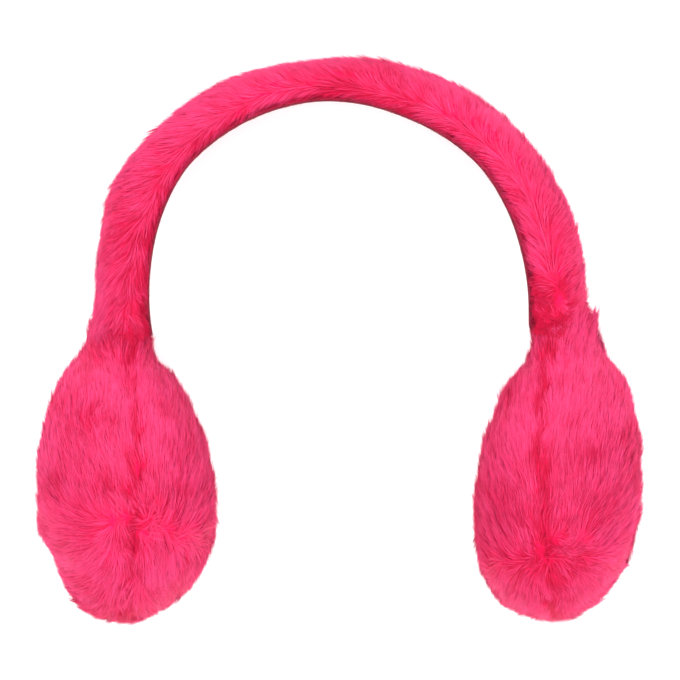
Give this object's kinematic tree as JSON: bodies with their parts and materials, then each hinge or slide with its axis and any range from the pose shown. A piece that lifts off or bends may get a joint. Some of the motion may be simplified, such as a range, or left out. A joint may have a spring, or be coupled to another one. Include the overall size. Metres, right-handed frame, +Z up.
{
  "type": "fur earmuffs",
  "caption": "Pink fur earmuffs: an arched fur headband with a smooth inner lining and a round stuffed fur pad at each end, each pad seamed round its rim.",
  "frame": {"origin": "middle of the bounding box's base, on the surface the earmuffs lie on", "axes": "+X across the head, from one pad to the other; +Y from the pads towards the crown of the headband; +Z up from the surface, from the back of the earmuffs to the front"},
  "size_m": [0.2278, 0.21, 0.0988],
  "materials": {
    "band_fur": "bright pink short-pile faux fur, brushed outwards from the band's inner edge",
    "lining": "smooth close-knit fabric strip, matt, a darker pink",
    "pad_fur": "bright pink plush faux fur, combed down from the neck and swirling at the seam"
  },
  "bodies": {
    "root": {"band_fur": "band_fur", "band_lining": "lining", "left_pad_outer": "pad_fur", "left_pad_inner": "pad_fur", "right_pad_outer": "pad_fur", "right_pad_inner": "pad_fur"}
  },
  "joints": []
}
